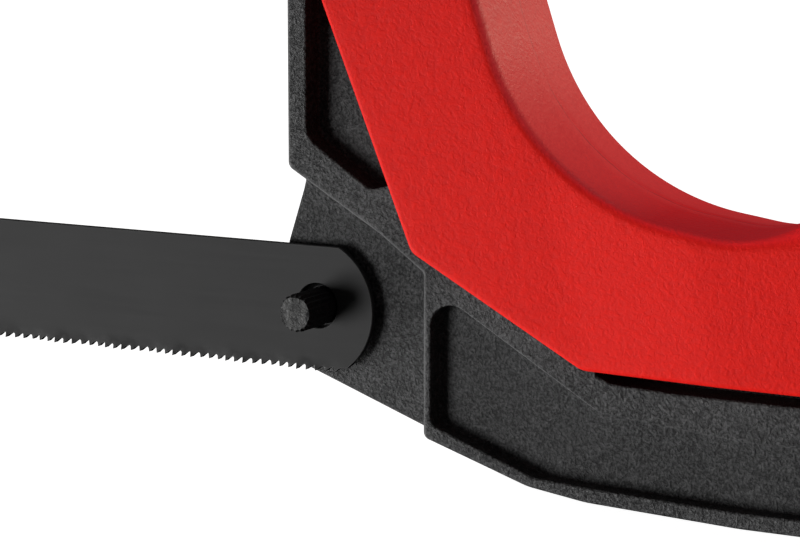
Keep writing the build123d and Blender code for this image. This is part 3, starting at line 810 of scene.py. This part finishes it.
pad = moulded("front_pad_moulding", PAD_OUTLINE, [], pad_height, pad_radius,
              MATERIALS["red_grip"], wall_rows=5, grid=0.75, wall=pad_wall)
register(pad, "frame", "front_arm_pad")

# ------------------------------------------------------------------ blade with a wavy set
HOLE_SPACING = 300.0
BORE_R = 2.3
PITCH = 25.4 / 24       # 24 teeth to the inch
TOOTH_DEPTH = 0.55
TOOTH_LEAN = 0.12
HALF_HEIGHT = 6.35
END_R = 7.2             # radius of the blade's ends
END_OFFSET = 0.90       # centres of the end arcs, inwards from the holes
END_STEPS = 24
SET_HEIGHT = 0.9        # height above the roots where the set begins

TIP_Z = -HALF_HEIGHT
ROOT_Z = -HALF_HEIGHT + TOOTH_DEPTH
REAR_X = -END_OFFSET
FRONT_X = -HOLE_SPACING + END_OFFSET
TOP_REACH = math.sqrt(END_R ** 2 - HALF_HEIGHT ** 2)
ROOT_REACH = math.sqrt(END_R ** 2 - ROOT_Z ** 2)
FIRST_TOOTH_X = REAR_X + ROOT_REACH - 0.5


def blade_outline():
    """Rear arc downwards, teeth forwards, front arc upwards, back edge to the rear."""
    top = math.asin(HALF_HEIGHT / END_R)
    root = math.asin(ROOT_Z / END_R)
    points = []
    for j in range(END_STEPS + 1):
        angle = top + (root - top) * j / END_STEPS
        points.append((REAR_X + END_R * math.cos(angle), END_R * math.sin(angle)))
    x = FIRST_TOOTH_X
    for _ in range(int((REAR_X + ROOT_REACH - (FRONT_X - ROOT_REACH) - 1.4) / PITCH)):
        blunt = abs(rng.uniform(-0.02, 0.02))
        tip_x = x - PITCH + TOOTH_LEAN * 0.5
        points += [
            (x - 0.02, ROOT_Z + 0.02), (x - 0.22, ROOT_Z - 0.03), (x - 0.55, ROOT_Z - 0.20),
            (tip_x + 0.05, TIP_Z + 0.01 + blunt), (tip_x - 0.02, TIP_Z + blunt),
            (x - PITCH + 0.04, ROOT_Z - 0.14),
        ]
        x -= PITCH
    points.append((x, ROOT_Z))
    for j in range(END_STEPS + 1):
        angle = root + (top - root) * j / END_STEPS
        points.append((FRONT_X - END_R * math.cos(angle), END_R * math.sin(angle)))
    x = FRONT_X - TOP_REACH + 3.0
    while x < REAR_X + TOP_REACH - 1.5:
        points.append((x, HALF_HEIGHT))
        x += 3.0
    return np.array(points)


def blade_chamfer(q, hole):
    """Chamfer width: very fine on the teeth."""
    return np.full(len(q), 0.07) if hole else np.where(q[:, 1] > ROOT_Z + 0.25, 0.07, 0.012)


def blade_set(q):
    """Sideways wave of the teeth, with a small alternation from tooth to tooth."""
    weight = np.clip((ROOT_Z + SET_HEIGHT - q[:, 1]) / (SET_HEIGHT + TOOTH_DEPTH), 0, 1) ** 1.3
    ends = smooth((q[:, 0] + HOLE_SPACING + 5.0) / 8.0) * smooth((5.0 - q[:, 0]) / 6.0)
    tooth = np.floor((q[:, 0] - FIRST_TOOTH_X) / PITCH)
    wave = 0.22 * np.sin(2 * math.pi * q[:, 0] / (7 * PITCH)) + 0.06 * np.cos(math.pi * tooth)
    return wave * weight * ends


def blade_guides(centres):
    """Points inside the face: two rows above the teeth and an open grid."""
    row_x = np.arange(FRONT_X - ROOT_REACH + 0.8, REAR_X + ROOT_REACH - 0.7, PITCH / 2)
    rows = [np.stack([row_x, np.full_like(row_x, ROOT_Z + up)], 1) for up in (0.45, SET_HEIGHT)]
    grid = hex_grid(FRONT_X - 4, REAR_X + 4, -4.0, 5.2, 2.2)
    for centre in centres:
        grid = grid[np.linalg.norm(grid - centre, axis=1) > 3.0]
    return rows + [grid]


def build_blade():
    """The strip with chamfered edges, two bores and set teeth."""
    bores = [circle(x, HOLE_Z, BORE_R, 56) for x in (0.0, -HOLE_SPACING)]
    centres = np.array([bore.mean(0) for bore in bores])
    loops, points, rings = [], [], []
    base = 0
    for border, hole in [(blade_outline(), False)] + [(bore, True) for bore in bores]:
        border, inward = turned(border, hole)
        chamfer = blade_chamfer(border, hole)
        loops.append((border, chamfer))
        points.append(border + inward * chamfer[:, None])
        rings.append(base + np.arange(len(border)))
        base += len(border)
    flat, triangles, _, renumber = triangulate(
        np.concatenate(points + blade_guides(centres)), rings, points, 1e-7)

    def layer(q, y):
        """Vertices of plan points at depth y, moved by the set."""
        return [(p[0], depth, p[1]) for p, depth in zip(q, y + blade_set(q))]

    far_y = BLADE_FACE + BLADE_THICK
    verts = layer(flat, BLADE_FACE)
    far = len(verts)
    verts += layer(flat, far_y)
    faces = [tuple(f) for f in triangles] + [tuple(far + i for i in f[::-1]) for f in triangles]
    for (border, chamfer), ring in zip(loops, rings):
        near_edge = [renumber[int(i)] for i in ring]
        far_edge = [far + i for i in near_edge]
        near_side = add_ring(verts, layer(border, BLADE_FACE + chamfer))
        far_side = add_ring(verts, layer(border, far_y - chamfer))
        for quads in zip(band(near_edge, near_side), band(near_side, far_side),
                         band(far_side, far_edge)):
            faces += quads
    ob = make_mesh("blade_strip", np.array(verts), faces, MATERIALS["blade_steel"], sharp=35)
    # Painted shade: the walls inside the bores are made near black
    ob.data.materials.append(WASHER_AND_BORE_SHADE_BLACK)
    for face in ob.data.polygons:
        place = ((np.array(face.center) - ORIGIN) / MM)[[0, 2]]
        near_bore = (np.linalg.norm(centres - place, axis=1) < BORE_R + 0.15).any()
        if abs(face.normal.y) < 0.5 and near_bore:
            face.material_index = 1
    return ob


register(build_blade(), "blade", "blade")

# ------------------------------------------------------------------ splined pins
PIN_R = 1.9
NECK_R = 1.70           # where the blade sits
PIN_TIP_Y = -8.5
SPLINES = 20
SPLINE_DEPTH = 0.19
POINTS_PER_SPLINE = 6
# Rings of the cut end: part of the pin's radius, roughness
CUT_RINGS = [(0.86, 0.03), (0.68, 0.04), (0.48, 0.04), (0.26, 0.03)]


def splined_pin(name, centre_x, seed):
    """A splined pin with a neck for the blade and a ragged cut end towards -Y."""
    pin_rng = np.random.default_rng(seed)
    count = SPLINES * POINTS_PER_SPLINE
    angles = np.linspace(0, 2 * math.pi, count, endpoint=False)

    def around(low, high, knots, closing):
        """Random values at even angles, joined by straight lines round the pin."""
        values = np.append(pin_rng.uniform(low, high, knots), closing)
        return np.interp(angles, np.linspace(0, 2 * math.pi, knots + 1), values)

    spline = PIN_R - SPLINE_DEPTH * (0.5 - 0.5 * np.cos(SPLINES * angles)) ** 0.8
    neck = np.full(count, NECK_R)
    jag = around(-0.12, 0.12, 14, 0.0)
    cut = around(0.0, 0.16, 10, 0.05)
    blade_back = BLADE_FACE + BLADE_THICK
    # Rings from the root to the tip: y, radius
    rows = [(PIN_ROOT_Y, spline * 0.97), (PIN_ROOT_Y - 0.2, spline),
            (blade_back + 0.25, spline), (blade_back + 0.08, neck),
            (BLADE_FACE - 0.02, neck), (BLADE_FACE - 0.25, spline)]
    for k in range(1, 9):
        y = BLADE_FACE - 0.25 + (PIN_TIP_Y + 0.45 - BLADE_FACE + 0.25) * k / 8
        rows.append((y, spline + pin_rng.uniform(-0.012, 0.012, count)))
    rows.append((PIN_TIP_Y + 0.26 + cut * 0.4, spline * 0.975 + jag * 0.25))
    rows.append((PIN_TIP_Y + 0.12 + cut * 0.5, spline * 0.935 + jag * 0.5))
    for part, rough in CUT_RINGS:
        y = PIN_TIP_Y + 0.02 + around(0.0, 2 * rough, 18, rough)
        rows.append((y, np.full(count, PIN_R * part) + jag * 0.5 * part))
    verts, faces, rings = [], [], []
    for y, radius in rows:
        ys = np.broadcast_to(y, (count,))
        rings.append(add_ring(verts, [
            (centre_x + r * math.cos(a), depth, HOLE_Z + r * math.sin(a))
            for r, a, depth in zip(radius, angles, ys)]))
    for ring, following in zip(rings, rings[1:]):
        faces += band(ring, following)
    root, tip = add_ring(verts, [(centre_x, PIN_ROOT_Y, HOLE_Z),
                                 (centre_x, PIN_TIP_Y + 0.09, HOLE_Z)])
    first, last = rings[0], rings[-1]
    for j in range(count):
        k = (j + 1) % count
        faces += [(root, first[k], first[j]), (last[j], last[k], tip)]
    return make_mesh(name, np.array(verts), faces, MATERIALS["pin_steel"], sharp=38)


front_low, front_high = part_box("front_blade_pin")
front_pin_x = ((front_low.x + front_high.x) / 2 - ORIGIN[0]) / MM
register(splined_pin("rear_pin_splined", REAR_PIN_X, seed=11),
         "frame", "rear_blade_pin")
register(splined_pin("front_pin_splined", front_pin_x, seed=12),
         "carrier", "front_blade_pin")


# ------------------------------------------------------------------ camera and lights (metres)
def aim(ob, target):
    ob.rotation_mode = "QUATERNION"
    ob.rotation_quaternion = (target - ob.location).to_track_quat("-Z", "Y")


camera = bpy.data.objects.new("camera", bpy.data.cameras.new("camera"))
scene.collection.objects.link(camera)
camera.data.sensor_width = 36.0
camera.data.lens = 122.5845
camera.data.clip_start = 0.01
camera.data.clip_end = 50.0
camera.location = (0.13404, -0.23205, 0.04801)
aim(camera, Vector((0.008878, 0.00032, 0.003282)))
scene.camera = camera

LIGHT_TARGET = Vector((0.01, 0, 0.02))


def area_light(name, direction, distance, size, power, colour=(1, 1, 1)):
    """A rectangular light, hidden from the camera; direction leads from the target to it."""
    light = bpy.data.lights.new(name, "AREA")
    light.shape = "RECTANGLE"
    light.size, light.size_y = size
    light.energy = power
    light.color = colour
    ob = bpy.data.objects.new(name, light)
    scene.collection.objects.link(ob)
    ob.location = LIGHT_TARGET + Vector(direction).normalized() * distance
    aim(ob, LIGHT_TARGET)
    ob.visible_camera = False


area_light("key_light", (-0.60, -0.77, -0.20), distance=2.4, size=(1.1, 1.1), power=47.5)
area_light("left_strip", (-0.88, -0.16, -0.44), distance=2.0, size=(0.25, 1.2), power=24.0)
area_light("right_back_light", (0.80, 0.59, 0.03), distance=2.6, size=(0.9, 0.9), power=31.0,
           colour=(1.0, 0.93, 0.72))
area_light("top_light", (-0.1, 0.25, 1.0), distance=2.4, size=(1.2, 1.2), power=11.0)


# ------------------------------------------------------------------ world and floor
def build_world():
    """White to the camera, dim grey to everything else."""
    world = bpy.data.worlds.new("studio")
    scene.world = world
    s = Shading(world, "ShaderNodeOutputWorld")
    dim = s.node("ShaderNodeBackground", {"Color": grey(0.5), "Strength": 0.10})
    bright = s.node("ShaderNodeBackground", {"Color": grey(1.0), "Strength": 1.0})
    s.show(s.node("ShaderNodeMixShader", {
        0: s.camera_ray(), 1: dim.outputs[0], 2: bright.outputs[0]}))


def floor_material():
    """Glowing white to the camera, dull grey to everything else."""
    s = Shading(bpy.data.materials.new("floor_pale"))
    pale = s.node("ShaderNodeBsdfDiffuse", {"Color": grey(0.80)})
    from_origin = s.node("ShaderNodeVectorMath", {0: s.geometry("Position")},
                         operation="LENGTH").outputs["Value"]
    glow = s.node("ShaderNodeEmission", {
        "Strength": s.ramp(from_origin, over=(0.25, 0.9), to=(0.97, 1.0))})
    seen = s.node("ShaderNodeAddShader", {0: pale.outputs[0], 1: glow.outputs[0]})
    dull = s.node("ShaderNodeBsdfDiffuse", {"Color": grey(0.30)})
    s.show(s.node("ShaderNodeMixShader", {
        0: s.camera_ray(), 1: dull.outputs[0], 2: seen.outputs[0]}))
    return s.owner


def build_floor(half=12.0):
    """A square floor under the lowest CAD point."""
    z = cad_box[0].z
    mesh = bpy.data.meshes.new("floor")
    mesh.from_pydata([(-half, -half, z), (half, -half, z), (half, half, z), (-half, half, z)],
                     [], [(0, 1, 2, 3)])
    floor = bpy.data.objects.new("floor", mesh)
    scene.collection.objects.link(floor)
    mesh.materials.append(floor_material())
    floor.visible_shadow = False


build_world()
build_floor()

scene.view_settings.view_transform = "Standard"
scene.view_settings.look = "None"
scene.view_settings.exposure = 0.0
